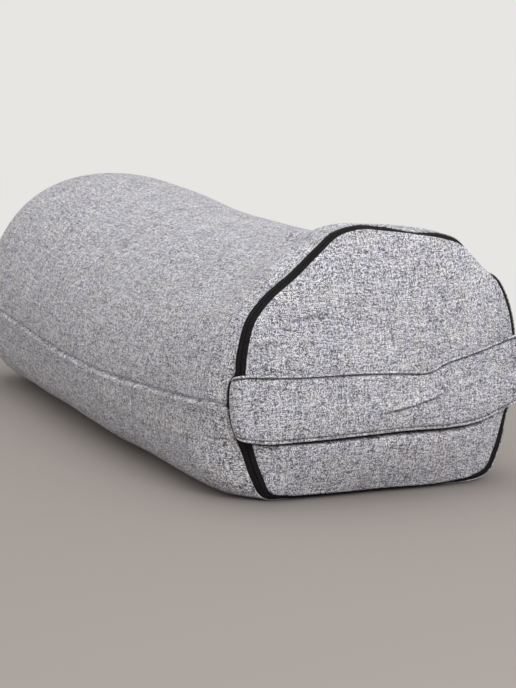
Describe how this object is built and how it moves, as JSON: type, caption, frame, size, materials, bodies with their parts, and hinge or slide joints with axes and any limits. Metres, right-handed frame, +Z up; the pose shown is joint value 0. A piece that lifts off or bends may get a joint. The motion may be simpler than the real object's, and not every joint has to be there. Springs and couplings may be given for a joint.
{
  "type": "yoga bolster",
  "caption": "Long filled cloth roll that lies on its side, with a crowned panel at each end, a zip round one end and a wide carrying handle across it.",
  "frame": {"origin": "on the surface that the bolster lies on, under the middle of its bounding box", "axes": "+Y runs along the roll from the zipped end to the plain end, +Z is up, and +X is to the right as seen facing the zipped end"},
  "size_m": [0.2792, 0.7096, 0.2169],
  "materials": {
    "melange_cloth": "matt plain weave in light and dark grey yarns",
    "zip_tape": "black woven tape with a slight sheen"
  },
  "bodies": {
    "root": {"bolster_body": "melange_cloth", "end_panel_near": "melange_cloth", "end_panel_far": "melange_cloth", "zip_band": "zip_tape", "handle_strap": "melange_cloth"}
  },
  "joints": []
}
